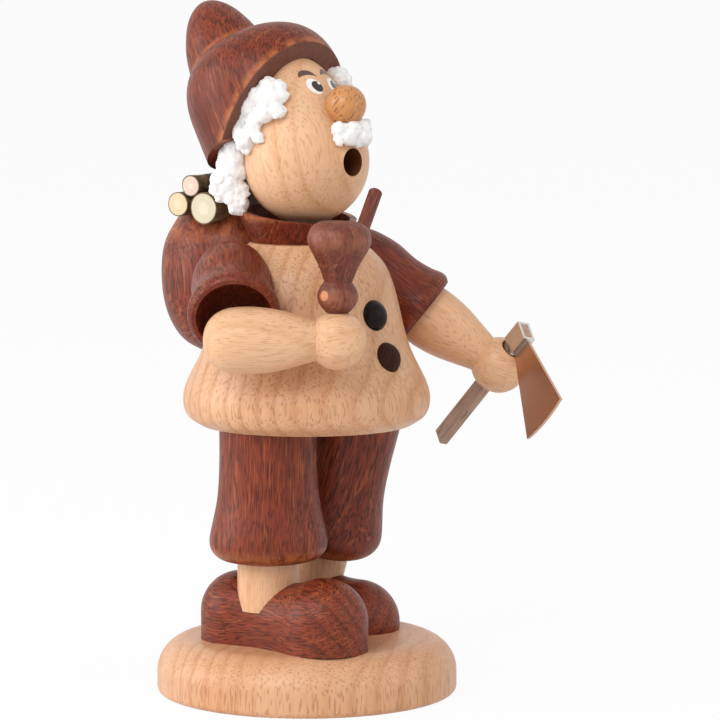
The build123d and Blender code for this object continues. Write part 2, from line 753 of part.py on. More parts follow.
os.makedirs("parts", exist_ok=True)
save(base(), "base")
save(Compound([rod(at(leg.dowel_foot), shoe_dowel_radius, 2 * shoe_dowel_bite) for leg in LEGS]), "shoe_dowels")
save(Compound([leg_dowel(leg, 0) for leg in LEGS]), "leg_dowels")
save(waist_disc(), "waist_disc")
save(incense_plate(), "incense_plate")
save(plate_nail(), "plate_nail")
for side_name, leg in zip(("right", "left"), LEGS):
    save(shoe(leg), "shoe_" + side_name)
    save(ankle(leg), "ankle_" + side_name)
    save(trouser(leg), "trouser_" + side_name)
save(coat(), "coat")
save(collar(), "collar")
save(head(), "head")
save(nose(), "nose")
save(hat_cap(), "hat_cap")
save(hat_peak(), "hat_peak")
save(Compound([arm_dowel(arm, 0) for arm in ARMS]), "arm_dowels")
for side_name, arm in zip(("right", "left"), ARMS):
    save(sleeve(arm), "sleeve_" + side_name)
save(forearm(ARMS[0]), "forearm_right")
save(forearm(ARMS[1]) - hand_bore(), "forearm_left")
save(pipe_hand(), "hand_right")
save(hand(ARMS[1]) - hand_bore(), "hand_left")
save(pipe_bowl(), "pipe_bowl")
save(stem(), "pipe_stem")
save(axe_handle(), "axe_handle")
save(axe_head(), "axe_head")
save(button(0), "button_upper")
save(button(1), "button_lower")
save(basket(), "basket")
save(basket_dowel(0), "basket_dowel")
for index, name in enumerate(("log_upper", "log_rear", "log_front")):
    save(log(index), name)
save(tuft(right_tuft, right_tuft_size), "hair_right")
save(tuft(nape_tuft, nape_tuft_size), "hair_nape")
save(tuft(left_nape_tuft, nape_tuft_size), "hair_nape_left")
save(tuft(left_tuft, left_tuft_size), "hair_left")
save(tuft(moustache_place, moustache_size), "moustache")
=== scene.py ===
import logging
import math
import random
from collections.abc import Callable, Iterator, Sequence
from contextlib import contextmanager
from dataclasses import dataclass
from enum import Enum
from typing import Any

import bpy
from mathutils import Euler, Matrix, Vector


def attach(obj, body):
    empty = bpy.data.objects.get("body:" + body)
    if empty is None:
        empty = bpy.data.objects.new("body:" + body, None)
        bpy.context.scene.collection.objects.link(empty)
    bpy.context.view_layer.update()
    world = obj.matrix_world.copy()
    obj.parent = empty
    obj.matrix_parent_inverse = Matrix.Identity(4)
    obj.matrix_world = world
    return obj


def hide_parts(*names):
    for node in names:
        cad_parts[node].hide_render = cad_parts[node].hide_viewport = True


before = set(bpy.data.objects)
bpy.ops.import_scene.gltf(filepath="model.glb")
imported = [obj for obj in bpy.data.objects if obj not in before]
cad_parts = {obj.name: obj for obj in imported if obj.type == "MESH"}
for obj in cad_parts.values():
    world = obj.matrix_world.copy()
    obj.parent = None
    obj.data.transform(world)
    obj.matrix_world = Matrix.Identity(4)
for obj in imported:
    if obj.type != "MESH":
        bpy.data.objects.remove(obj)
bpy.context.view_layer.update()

LOG = logging.getLogger("smoker")
MM = 0.001
IN_MM = (1000.0, 1000.0, 1000.0)  # scale from Blender's metres to mm
UP = (0.0, 0.0, 1.0)

Triple = tuple[float, float, float]
Ball = tuple[float, float, float, float]  # X, Y, Z and radius, mm
Plane = tuple[Triple, Triple]  # a point on it in mm, and its outward direction
Node = bpy.types.Node
Socket = bpy.types.NodeSocket
Material = bpy.types.Material
Piece = bpy.types.Object
# A value for a node's socket: a plain value, or the output socket or the node that feeds it.
SocketValue = Any
# A colour laid over others: its hex code, the value that it follows, where that begins and where it is full,
# and how much then shows.
Layer = tuple[str, SocketValue, float, float, float]


class Domain(Enum):
    """What part of a mesh a choice picks."""

    FACE = "FACE"
    EDGE = "EDGE"
    VERT = "VERT"


def linear(code: str) -> tuple[float, float, float, float]:
    """Turns an sRGB hex colour into linear light.

    Args:
        code: Six hex digits, such as "E0B587".

    Returns:
        Red, green, blue and an alpha of one.
    """
    parts = []
    for start in (0, 2, 4):
        value = int(code[start:start + 2], 16) / 255
        parts.append(value / 12.92 if value <= 0.04045 else ((value + 0.055) / 1.055) ** 2.4)
    return (parts[0], parts[1], parts[2], 1.0)


def turn_to(direction: Sequence[float]) -> Matrix:
    """A turn that takes +Z to a direction."""
    return Vector(direction).to_track_quat("Z", "Y").to_matrix().to_4x4()


@dataclass
class Nodes:
    """A node tree being built, with the few groups of nodes that several finishes share."""

    tree: bpy.types.NodeTree

    def add(self, kind: str, inputs: dict[str | int, SocketValue] | None = None, **settings: Any) -> Node:
        """Adds a node, sets it up and links what feeds it.

        Args:
            kind: The node's type name, without ShaderNode before it.
            inputs: What each input gets, by name or number. A node feeds it from its first output in use.
            settings: Properties of the node itself.

        Returns:
            The new node.
        """
        node = self.tree.nodes.new(f"ShaderNode{kind}")
        for name, value in settings.items():
            setattr(node, name, value)
        for key, value in (inputs or {}).items():
            if isinstance(value, Node):
                value = next(output for output in value.outputs if output.enabled)
            if isinstance(value, Socket):
                self.tree.links.new(value, node.inputs[key])
            else:
                node.inputs[key].default_value = value
        return node

    def off_axis(self, point: SocketValue) -> Node:
        """A point's distance from the Z axis."""
        flat = self.add("VectorMath", {0: point, 1: (1, 1, 0)}, operation="MULTIPLY")
        return self.add("VectorMath", {0: flat}, operation="LENGTH")

    def beyond(self, place: Socket, plane: Plane) -> Node:
        """How far a point lies outside a plane.

        Args:
            place: The point in metres.
            plane: The plane.

        Returns:
            The distance in mm.
        """
        point, outward = plane
        in_mm = self.add("VectorMath", {0: place, 1: IN_MM}, operation="MULTIPLY")
        offset = self.add("VectorMath", {0: in_mm, 1: point}, operation="SUBTRACT")
        return self.add("VectorMath", {0: offset, 1: outward}, operation="DOT_PRODUCT")

    def layered(self, ground: str, layers: Sequence[Layer]) -> SocketValue:
        """Lays colours over a ground, one after another.

        Args:
            ground: Hex code of the lowest colour.
            layers: The colours over it, from the lowest.

        Returns:
            What gives the colour.
        """
        colour: SocketValue = linear(ground)
        for tint, value, start, full, strength in layers:
            share = self.add("MapRange", {"Value": value, "From Min": start, "From Max": full, "To Max": strength})
            colour = self.add("Mix", {0: share, 6: colour, 7: linear(tint)}, data_type="RGBA")
        return colour

    def surface(self, inputs: dict[str | int, SocketValue]) -> None:
        """Ends a material with one shader for the whole surface."""
        self.add("OutputMaterial", {"Surface": self.add("BsdfPrincipled", inputs)})


def new_material(name: str) -> tuple[Material, Nodes]:
    """Makes an empty node material.

    Args:
        name: The material's name.

    Returns:
        The material and its cleared nodes.
    """
    material = bpy.data.materials.new(name)
    material.use_nodes = True
    material.node_tree.nodes.clear()
    return material, Nodes(material.node_tree)


def dress(piece: Piece, material: Material) -> None:
    """Puts a material into every slot that a piece has, or into its first.

    Args:
        piece: The piece.
        material: Its finish.
    """
    slots = piece.data.materials
    for index in range(len(slots)):
        slots[index] = material
    if not slots:
        slots.append(material)


def deselect() -> None:
    """Leaves edit mode and selects nothing."""
    if bpy.context.object and bpy.context.object.mode != "OBJECT":
        bpy.ops.object.mode_set(mode="OBJECT")
    bpy.ops.object.select_all(action="DESELECT")


def activate(*pieces: Piece) -> Piece:
    """Selects pieces alone and makes the first one active.

    Args:
        pieces: The pieces to select.

    Returns:
        The active piece.
    """
    deselect()
    for piece in pieces:
        piece.select_set(True)
    bpy.context.view_layer.objects.active = pieces[0]
    return pieces[0]


@contextmanager
def editing(piece: Piece) -> Iterator[None]:
    """Edit mode with all of a piece selected, and object mode again afterwards.

    Args:
        piece: The piece being modelled.
    """
    activate(piece)
    bpy.ops.object.mode_set(mode="EDIT")
    bpy.ops.mesh.select_all(action="SELECT")
    yield
    bpy.ops.object.mode_set(mode="OBJECT")


def pick(piece: Piece, wanted: Callable[[Vector], bool], domain: Domain = Domain.FACE) -> None:
    """Selects faces, edges or vertices by the place of their middle, and leaves the piece in edit mode.

    Args:
        piece: The piece being modelled.
        wanted: Says whether a middle point is wanted.
        domain: What is picked.
    """
    activate(piece)
    bpy.ops.object.mode_set(mode="EDIT")
    bpy.ops.mesh.select_mode(type=domain.value)
    bpy.ops.mesh.select_all(action="DESELECT")
    bpy.ops.object.mode_set(mode="OBJECT")
    mesh = piece.data
    items = {Domain.FACE: mesh.polygons, Domain.EDGE: mesh.edges, Domain.VERT: mesh.vertices}[domain]
    for item in items:
        if domain is Domain.VERT:
            middle = item.co
        else:
            middle = sum((mesh.vertices[i].co for i in item.vertices), Vector()) / len(item.vertices)
        item.select = wanted(middle)
    bpy.ops.object.mode_set(mode="EDIT")


def displace(piece: Piece, name: str, across: float, strength: float, detail: int = 2,
             world: bool = False) -> None:
    """Adds a modifier that pushes a surface in and out by cloudy noise.

    Args:
        piece: The piece.
        name: The noise's name.
        across: How wide its lumps are, mm.
        strength: How far it pushes from lowest to highest, mm.
        detail: How many finer layers it has.
        world: Whether it lies in the scene's coordinates and not in the piece's.
    """
    clouds = bpy.data.textures.new(name, "CLOUDS")
    clouds.noise_scale = across * MM
    clouds.noise_depth = detail
    push = piece.modifiers.new(name, "DISPLACE")
    push.texture = clouds
    push.texture_coords = "GLOBAL" if world else "LOCAL"
    push.strength = strength * MM


def finish_modifiers(piece: Piece) -> None:
    """Applies every modifier of a piece, in order.

    Args:
        piece: The piece.
    """
    activate(piece)
    for modifier in list(piece.modifiers):
        bpy.ops.object.modifier_apply(modifier=modifier.name)


def settle(piece: Piece, name: str, node: str | None = None) -> None:
    """Applies a piece's place to its mesh, names it and ties it to the upper half of the smoker.

    Args:
        piece: The finished piece.
        name: Its name.
        node: The node that it stands for, if any.
    """
    activate(piece)
    bpy.ops.object.transform_apply(location=True, rotation=True, scale=True)
    piece.name = name
    piece.data.name = name
    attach(piece, "figure")
    if node:
        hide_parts(node)
    LOG.info("%s has %d faces", name, len(piece.data.polygons))


@dataclass(frozen=True)
class Grain:
    """How the wood of one piece lies, what handling, sawing and smoke did to it, and spots of end grain and of
    painted shade. Lengths are in mm.
    """

    axis: Triple = UP  # the grain's line
    middle: Triple = (0.0, 0.0, 0.0)  # where the local height is zero
    pith_heading: float = -47.0  # degrees about the grain, away from the tree's heart
    pith_distance: float = 70.0  # from the piece's middle
    rubbed: tuple[tuple[float, float], ...] = ()  # heights along the axis and half widths
    cut_face: Plane | None = None  # where saw marks show instead of a turned surface
    worn_edges: tuple[tuple[Plane, float], ...] = ()  # planes and how wide the wear beside them is
    bore: Triple | None = None  # X, Z and radius of a smoked bore along Y
    marks: tuple[tuple[Triple, float, str], ...] = ()  # middle, radius and colour of spots, such as end grain and painted shade

    def to_local(self) -> tuple[Triple, Triple]:
        """Turn and shift that bring a point in mm into the wood's own frame.

        Returns:
            Euler angles and a location for a Mapping node.
        """
        turn = (turn_to(self.axis) @ Matrix.Rotation(math.radians(self.pith_heading), 4, "Z")).inverted()
        shift = -(turn @ Vector(self.middle)) + Vector((self.pith_distance, 0, 0))
        return tuple(turn.to_euler()), tuple(shift)


# Sizes of the wood's patterns in mm towards the heart, round it and along the grain, and their detail.
RING_WOBBLE = (9.0, 9.0, 26.0, 1.0)
RING_PATCHES = (14.0, 14.0, 40.0, 2.0)
PALE_PATCHES = (12.0, 12.0, 30.0, 2.0)
FIBRES = (0.5, 0.22, 5.0, 3.0)
STREAKS = (1.6, 0.24, 4.5, 2.0)
RUBBED_PATCHES = (1.2, 1.2, 2.0, 3.0)
WORN_PATCHES = (1.4, 1.4, 1.4, 3.0)
# How dark a yearly ring is along its width: pale early wood, dark late wood, then a quick drop.
RING_RAMP = ((0.0, 0.25), (0.16, 0.0), (0.62, 0.22), (0.90, 1.0), (1.0, 0.25))
SMOKED = "6E3E22"


@dataclass(frozen=True)
class Wood:
    """Turned beech, clear or stained, under a thin lacquer.

    Beech shows short dark flecks along the grain where its rays are cut across, and soft bands where the
    turned surface meets its yearly rings.
    """

    name: str
    ground: str
    pale: str
    ring: str
    fleck: str
    rub: str = "C0703F"  # the lighter wood under a stain
    cut: str = "68463C"  # a stained face left from the saw
    ring_width: float = 2.6  # mm between yearly rings
    ring_wander: float = 7.0  # mm that a ring strays from its circle
    ring_strength: float = 0.35
    fleck_length: float = 1.6  # mm, a ray seen end on
    fleck_width: float = 0.13  # mm, a little coarser than the real 0.1 so that it shows
    fleck_depth: float = 0.26  # mm that a ray keeps its width towards the heart
    fleck_cut: float = 0.585  # noise level above which a fleck shows
    fleck_strength: float = 0.6
    patch_strength: float = 0.5
    fibre_strength: float = 0.4
    streak_strength: float = 0.0  # lighter lines where the stain took less
    rub_strength: float = 0.6
    wear_strength: float = 0.7
    cut_strength: float = 0.8
    roughness: float = 0.42
    fibre_roughness: float = 0.22  # how much rougher the strongest fibre is than none
    cut_roughness: float = 0.2  # how much rougher a sawn face is
    gloss: float = 0.30  # strength of the bare wood's own shine
    lacquer: float = 0.10
    lacquer_roughness: float = 0.25
    relief: float = 0.35
    relief_depth: float = 0.06  # mm

    def material(self, piece: str, grain: Grain) -> Material:
        """Builds this wood for one piece.

        Args:
            piece: The piece's name, added to the material's.
            grain: How the wood lies in the piece.

        Returns:
            The material.
        """
        material, nodes = new_material(f"{self.name}_{piece}")
        add = nodes.add
        place = add("TexCoord").outputs["Object"]
        in_mm = add("VectorMath", {0: place, 1: IN_MM}, operation="MULTIPLY")
        turn, shift = grain.to_local()
        local = add("Mapping", {"Vector": place, "Scale": IN_MM, "Rotation": turn, "Location": shift})

        def stretched(radial: float, across: float, along: float, detail: float) -> Node:
            """Noise whose feature sizes are given in mm along the wood's three directions."""
            scaled = add("Mapping", {"Vector": local, "Scale": (0.5 / radial, 0.5 / across, 0.5 / along)})
            return add("TexNoise", {"Vector": scaled, "Scale": 1.0, "Detail": detail, "Roughness": 0.55})

        # Yearly rings: distance from the pith, wobbled by slow noise, as a ramp that darkens and drops back.
        wobble = add("Math", {0: stretched(*RING_WOBBLE), 1: self.ring_wander}, operation="MULTIPLY")
        ring_place = add("Math", {0: nodes.off_axis(local), 1: wobble}, operation="ADD")
        rings = add("Math", {0: ring_place, 1: self.ring_width}, operation="DIVIDE")
        late = add("ValToRGB", {"Fac": add("Math", {0: rings}, operation="FRACT")})
        stops = late.color_ramp.elements
        for index, (stop, level) in enumerate(RING_RAMP):
            element = stops[index] if index < 2 else stops.new(stop)
            element.position, element.color = stop, (level, level, level, 1)
        patches = add("MapRange", {"Value": stretched(*RING_PATCHES), "From Min": 0.30, "From Max": 0.62})
        bands = add("Math", {0: late, 1: patches}, operation="MULTIPLY")

        # Flecks: rays cut across, long along the grain and thin across it.
        coarse = stretched(self.fleck_depth, self.fleck_width, self.fleck_length, 0.5)
        flecks = add("MapRange", {"Value": coarse, "From Min": self.fleck_cut, "From Max": self.fleck_cut + 0.06})
        fibre = stretched(*FIBRES)

        layers: list[Layer] = [
            (self.pale, stretched(*PALE_PATCHES), 0.36, 0.66, self.patch_strength),
            (self.ring, bands, 0.0, 1.0, self.ring_strength),
            (self.ring, fibre, 0.5, 0.8, self.fibre_strength),
        ]
        if self.streak_strength:
            layers.append((self.rub, stretched(*STREAKS), 0.54, 0.68, self.streak_strength))
        layers.append((self.fleck, flecks, 0.0, 1.0, self.fleck_strength))
        if grain.rubbed:
            height = add("SeparateXYZ", {0: local}).outputs["Z"]
            worn: SocketValue = 0.0
            for level, half_width in grain.rubbed:
                offset = add("Math", {0: height, 1: level}, operation="SUBTRACT")
                away = add("Math", {0: offset}, operation="ABSOLUTE")
                near = add("MapRange", {"Value": away, "From Min": half_width, "From Max": 0.0})
                worn = add("Math", {0: worn, 1: near}, operation="MAXIMUM")
            patches = add("MapRange", {"Value": stretched(*RUBBED_PATCHES), "From Min": 0.34, "From Max": 0.60})
            patchy = add("Math", {0: worn, 1: patches}, operation="MULTIPLY")
            layers.append((self.rub, patchy, 0.0, 1.0, self.rub_strength))
        # Fibres make the shine uneven round its mean.
        uneven = add("MapRange", {"Value": fibre, "From Min": 0.3, "From Max": 0.8, "To Max": self.fibre_roughness})
        roughness = add("Math", {0: uneven, 1: self.roughness - 0.09}, operation="ADD")

        # Wear is strongest a little inside its edge and fades over its width.
        for plane, width in grain.worn_edges:
            offset = add("Math", {0: nodes.beyond(place, plane), 1: width * 0.4}, operation="ADD")
            away = add("Math", {0: offset}, operation="ABSOLUTE")
            near = add("MapRange", {"Value": away, "From Min": width, "From Max": 0.0})
            patches = add("MapRange", {"Value": stretched(*WORN_PATCHES), "From Min": 0.32, "From Max": 0.56})
            patchy = add("Math", {0: near, 1: patches}, operation="MULTIPLY")
            layers.append((self.rub, patchy, 0.0, 1.0, self.wear_strength))
        if grain.cut_face:
            outside = nodes.beyond(place, grain.cut_face)
            on_face = add("MapRange", {"Value": outside, "From Min": -0.25, "From Max": -0.10})
            layers.append((self.cut, on_face, 0.0, 1.0, self.cut_strength))
            rougher = add("Math", {0: on_face, 1: self.cut_roughness}, operation="MULTIPLY")
            roughness = add("Math", {0: roughness, 1: rougher}, operation="ADD")
        if grain.bore:
            across, level, radius = grain.bore
            flat = add("VectorMath", {0: in_mm, 1: (1, 0, 1)}, operation="MULTIPLY")
            away = add("VectorMath", {0: flat, 1: (across, 0, level)}, operation="DISTANCE")
            layers.append((SMOKED, away, radius + 0.06, radius + 0.02, 1.0))
        # Spots: end grain, and painted shade where another piece hides this one.
        for point, radius, tint in grain.marks:
            away = add("VectorMath", {0: in_mm, 1: point}, operation="DISTANCE")
            layers.append((tint, away, radius, radius - 0.12, 0.9))
        raised, sunk = (add("Math", {0: part, 1: 0.5}, operation="MULTIPLY") for part in (fibre, flecks))
        height = add("Math", {0: raised, 1: sunk}, operation="SUBTRACT")
        bump = add("Bump", {"Height": height, "Strength": self.relief, "Distance": self.relief_depth * MM})
        nodes.surface({
            "Base Color": nodes.layered(self.ground, layers), "Roughness": roughness, "Normal": bump, "IOR": 1.5,
            "Specular IOR Level": self.gloss, "Coat Weight": self.lacquer, "Coat Roughness": self.lacquer_roughness})
        return material


# Each wood's colours: ground, pale patches, rings, flecks.
# Steamed beech, turned and lacquered clear: warm pale tan with a satin shine.
CLEAR_BEECH = Wood("clear_beech", "D59F77", "E4B993", "B5743F", "8A5028", ring_width=4.2,
                   ring_strength=0.52, fleck_strength=0.38)
# The same wood from a paler blank, with fewer rings, for arms, hands, head and ankles.
PALE_BEECH = Wood("pale_beech", "DFAC84", "EBC39C", "C68A58", "A0683A", ring_width=5.2,
                  ring_strength=0.45, fleck_strength=0.30)
# Beech under a red brown water stain, which the open flecks take up darker.
STAINED_BEECH = Wood("stained_beech", "78301B", "97472C", "461A10", "33120C", ring_width=3.0,
                     ring_strength=0.6, fleck_width=0.11, fleck_length=2.0, fleck_cut=0.54, fleck_strength=0.68,
                     fibre_strength=0.64, streak_strength=0.28, roughness=0.44, gloss=0.22, lacquer=0.06, relief=0.6)
# The pipe took more stain and is a little purple.
PIPE_BEECH = Wood("pipe_beech", "6C2E20", "80402E", "441C14", "361814", rub="A8684C",
                  ring_width=2.4, ring_strength=0.45, fleck_width=0.14, fleck_length=1.4, fleck_cut=0.55,
                  fleck_strength=0.55, fibre_strength=0.72, streak_strength=0.45, roughness=0.5, lacquer=0.06,
                  relief=0.6)
# A honey coloured ball with dark flecks.
HONEY_WOOD = Wood("honey_wood", "CB8A52", "DDA26A", "A4683A", "6A3C1E", ring_width=2.2,
                  ring_strength=0.3, fleck_width=0.15, fleck_length=1.4, roughness=0.36, lacquer=0.25)
# Buttons: one stained black, one dark brown.
BLACK_WOOD = Wood("black_wood", "1C1513", "271D1A", "110D0C", "322622", ring_strength=0.3,
                  fleck_strength=0.2, roughness=0.30, gloss=0.08, lacquer=0.03, lacquer_roughness=0.12)
BROWN_WOOD = Wood("brown_wood", "36201A", "4A2C22", "241310", "1C0F0D", ring_strength=0.4,
                  fleck_cut=0.56, fleck_strength=0.5, roughness=0.5, gloss=0.05, lacquer=0.0)
# The axe's handle: a thin strip of grey brown wood, unlacquered.
STRIP_WOOD = Wood("strip_wood", "B0907A", "C8AA94", "8C6C58", "64483A", ring_width=1.6,
                  ring_strength=0.4, fleck_width=0.14, fleck_length=2.4, fleck_strength=0.45, roughness=0.55,
                  lacquer=0.0)


@dataclass(frozen=True)
class Steel:
    """Thin sheet metal with a fine brushed line along one direction, bright at first and with a painted warm
    reflection of the brown wood beyond a plane.
    """

    name: str
    ground: str
    warm_reflection: str
    line_axis: Triple
    reflection_plane: Plane
    reflection_start: float = 2.6  # mm beyond the plane where the tone begins to change
    reflection_end: float = 3.2
    line_width: float = 0.12  # mm between brush lines, as coarse as it needs to show
    line_stretch: float = 0.04  # noise scale along a line, so that it runs on for over 10 mm
    roughness: float = 0.30
    uneven: float = 0.02

    def material(self) -> Material:
        """Builds the metal.

        Returns:
            The material.
        """
        material, nodes = new_material(self.name)
        place = nodes.add("TexCoord").outputs["Object"]
        turn = tuple(turn_to(self.line_axis).inverted().to_euler())
        local = nodes.add("Mapping", {"Vector": place, "Scale": IN_MM, "Rotation": turn})
        fine = 0.5 / self.line_width
        lines = nodes.add("Mapping", {"Vector": local, "Scale": (fine, fine, self.line_stretch)})
        brush = nodes.add("TexNoise", {"Vector": lines, "Scale": 1.0, "Detail": 2.0})
        # Beyond the plane the colour turns to a painted warm reflection of the brown wood around the metal.
        painted_reflection = (self.warm_reflection, nodes.beyond(place, self.reflection_plane), self.reflection_start, self.reflection_end, 1.0)
        rough = nodes.add("MapRange", {
            "Value": brush, "From Min": 0.3, "From Max": 0.7,
            "To Min": self.roughness - self.uneven, "To Max": self.roughness + self.uneven})
        bump = nodes.add("Bump", {"Height": brush, "Strength": 0.05, "Distance": 0.01 * MM})
        nodes.surface({"Base Color": nodes.layered(self.ground, [painted_reflection]), "Metallic": 1.0, "Roughness": rough,
                       "Normal": bump})
        return material


@dataclass(frozen=True)
class Paint:
    """A drop of enamel put on with a brush: even colour, a wet shine, faint unevenness."""

    name: str
    colour: str
    dirt: str = "6A5A50"
    dirt_strength: float = 0.08
    drift: float = 900.0  # noise scale over metres, about 0.6 mm across
    roughness: float = 0.25

    def material(self) -> Material:
        """Builds the enamel.

        Returns:
            The material.
        """
        material, nodes = new_material(self.name)
        place = nodes.add("TexCoord").outputs["Object"]
        drift = nodes.add("TexNoise", {"Vector": place, "Scale": self.drift, "Detail": 2.0})
        colour = nodes.layered(self.colour, [(self.dirt, drift, 0.3, 0.7, self.dirt_strength)])
        bump = nodes.add("Bump", {"Height": drift, "Strength": 0.2, "Distance": 0.03 * MM})
        nodes.surface({"Base Color": colour, "Roughness": self.roughness, "Normal": bump, "IOR": 1.5})
        return material


@dataclass(frozen=True)
class Wool:
    """White lamb's fleece: soft, fluffy, letting some light through."""

    name: str = "fleece"
    colour: str = "F2F0EE"
    shade: str = "CFCBC8"
    shade_strength: float = 0.30
    curl: float = 0.9  # mm across a curl of the staple
    fibre: float = 2.4  # noise scale over mm, about 0.2 mm across

    def material(self) -> Material:
        """Builds the fleece.

        Returns:
            The material.
        """
        material, nodes = new_material(self.name)
        place = nodes.add("TexCoord").outputs["Object"]
        local = nodes.add("Mapping", {"Vector": place, "Scale": IN_MM})
        curls = nodes.add("TexNoise", {
            "Vector": local, "Scale": 0.5 / self.curl, "Detail": 4.0, "Roughness": 0.65, "Distortion": 0.8})
        fibres = nodes.add("TexNoise", {
            "Vector": local, "Scale": self.fibre, "Detail": 3.0, "Roughness": 0.7, "Distortion": 1.5})
        colour = nodes.layered(self.colour, [(self.shade, curls, 0.48, 0.30, self.shade_strength)])
        relief = nodes.add("Math", {0: curls, 1: fibres}, operation="ADD")
        bump = nodes.add("Bump", {"Height": relief, "Strength": 0.25, "Distance": 0.15 * MM})
        nodes.surface({
            "Base Color": colour, "Roughness": 0.95, "Normal": bump, "IOR": 1.4, "Specular IOR Level": 0.1,
            "Sheen Weight": 0.4, "Sheen Roughness": 0.5, "Subsurface Weight": 0.7,
            "Subsurface Radius": (1.0, 0.97, 0.94), "Subsurface Scale": 1.8 * MM})
        return material


@dataclass
class TurnedPieces:
    """The turned wooden pieces: each CAD solid gets its own cut of wood. Lengths are in mm, leans in degrees."""

    hem: float = 63.0
    hand_left: Triple = (41.6, -23.0, 75.0)
    hat_middle: Triple = (0.0, 11.5, 136.5)
    hat_lean: float = 30.0
    hat_face_lean: float = 66.5
    hat_face_drop: float = 5.4  # from the hat's middle to its sawn face
    seam_lean: float = 47.0
    seam_reach: float = 16.6  # from the hat's middle to the seam under its peak
    peak_lean: float = 32.0
    head_lean: float = 16.0
    basket_lean: float = 3.4
    left_leg_lean: float = -18.8

    @staticmethod
    def leaned(angle: float) -> Triple:
        """A direction leaned from +Z towards +Y, in degrees."""
        return (0.0, math.sin(math.radians(angle)), math.cos(math.radians(angle)))

    def hat_plane(self, lean: float, reach: float, outward: int) -> Plane:
        """A plane across the hat.

        Args:
            lean: Lean of the line to it from the hat's middle.
            reach: Its distance from the hat's middle along that line.
            outward: 1 where the line points out of the wood there, else -1.

        Returns:
            The plane.
        """
        _, along, up = self.leaned(lean)
        _, middle, level = self.hat_middle
        return ((0.0, middle + reach * along, level + reach * up), (0.0, outward * along, outward * up))

    def woods(self) -> dict[str, tuple[Wood, Grain]]:
        """Picks the wood and its lie for every turned piece.

        Returns:
            Wood and grain for each node.
        """
        left_leg = self.leaned(self.left_leg_lean)
        hat_face = self.hat_plane(self.hat_face_lean, -self.hat_face_drop, -1)
        cap_edge = self.hat_plane(self.seam_lean, self.seam_reach, 1)
        peak_edge = self.hat_plane(self.seam_lean, self.seam_reach, -1)
        # The head gets a painted shade where it sits in the collar's hollow; the pipe's bead shows a spot of end
        # grain.
        neck_painted_shade = ((0.0, 0.0, 103.0), 9.9, "4A2418")
        bead_spot = ((-23.55, -27.98, 96.15), 1.2, "CC8A58")
        stained, clear, pale = STAINED_BEECH, CLEAR_BEECH, PALE_BEECH
        # Each grain: its line, the piece's middle, the pith's heading and distance, then rubbed heights.
        woods = {
            "base": (clear, Grain(pith_heading=128, pith_distance=95)),
            "coat": (clear, Grain((0.02, 0.04, 1), (0, 0, self.hem), 150, 48)),
            "head": (pale, Grain(self.leaned(self.head_lean), (0, 0, 124), 118, 75, bore=(0.5, 124.2, 3.2),
                                 marks=(neck_painted_shade,))),
            "waist_disc": (clear, Grain((1, 0, 0), (0, 0, 66))),
            "ankle_right": (pale, Grain(UP, (-13.2, 0, 24), 60, 90)),
            "ankle_left": (pale, Grain(left_leg, (13.2, 8, 24), 20, 90)),
            "forearm_right": (pale, Grain((0.68, -0.73, 0.0), (-25, -22, 86), 200, 80)),
            "forearm_left": (pale, Grain((0.50, -0.66, -0.56), (36, -16, 80), 80, 60)),
            "hand_right": (pale, Grain((0.68, -0.73, 0.05), (-19, -28, 86), 100, 40)),
            "hand_left": (pale, Grain((0.5, -0.66, -0.3), self.hand_left, 10, 40)),
            "shoe_right": (stained, Grain((0.07, -1, 0), (-12, 0, 19), 30, 40)),
            "shoe_left": (stained, Grain((0.07, -1, -0.2), (13, 6, 19), 130, 40)),
            "trouser_right": (stained, Grain(UP, (-13.2, 0, 32), 30, 55, ((2.2, 2.4),))),
            "trouser_left": (stained, Grain(left_leg, (13.2, 8, 32), 170, 50, ((2.2, 2.0),))),
            "collar": (stained, Grain(UP, (0, 2.4, 105.2), 70, 45, ((6.2, 1.4),))),
            "hat_cap": (stained, Grain(self.leaned(self.hat_lean), self.hat_middle, -10, 34, cut_face=hat_face,
                                       worn_edges=((hat_face, 1.5), (cap_edge, 1.6)))),
            "hat_peak": (stained, Grain(self.leaned(self.peak_lean), (0, 23.4, 143.9), 200, 26,
                                        worn_edges=((peak_edge, 1.2),))),
            "sleeve_right": (stained, Grain((-0.631, -0.671, -0.390), (-32.7, -8.9, 90.6), 40, 60)),
            "sleeve_left": (stained, Grain((0.498, -0.597, -0.627), (30.8, -8.35, 86.8), 160, 40)),
            "basket": (stained, Grain(self.leaned(self.basket_lean), (0, 22, 78), 250, 30, ((30.0, 4.0),))),
            "pipe_bowl": (PIPE_BEECH, Grain((0.02, -0.022, 1), (-19.1, -27.9, 92.2), 40, 40,
                                            ((3.4, 2.6), (16.4, 3.6)), marks=(bead_spot,))),
            "pipe_stem": (PIPE_BEECH, Grain((0.64, 0.21, 0.74), (-19, -27.8, 95.4), pith_distance=30)),
            "nose": (HONEY_WOOD, Grain((0.2, -0.6, 0.8), (0, -12.6, 137), 60, 12)),
            "button_upper": (BLACK_WOOD, Grain(UP, (0, -21, 89.5))),
            "button_lower": (BROWN_WOOD, Grain((0.3, 0, 1), (1.6, -24, 80))),
            "axe_handle": (STRIP_WOOD, Grain((-0.052, -0.713, 0.699), self.hand_left, 20, 18)),
        }
        for node in ("shoe_dowels", "leg_dowels", "arm_dowels", "basket_dowel"):
            woods[node] = (pale, Grain())
        return woods

    def build(self) -> None:
        """Dresses every turned piece."""
        for node, (wood, grain) in self.woods().items():
            dress(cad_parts[node], wood.material(node, grain))
            LOG.info("%s dressed as %s", node, wood.name)


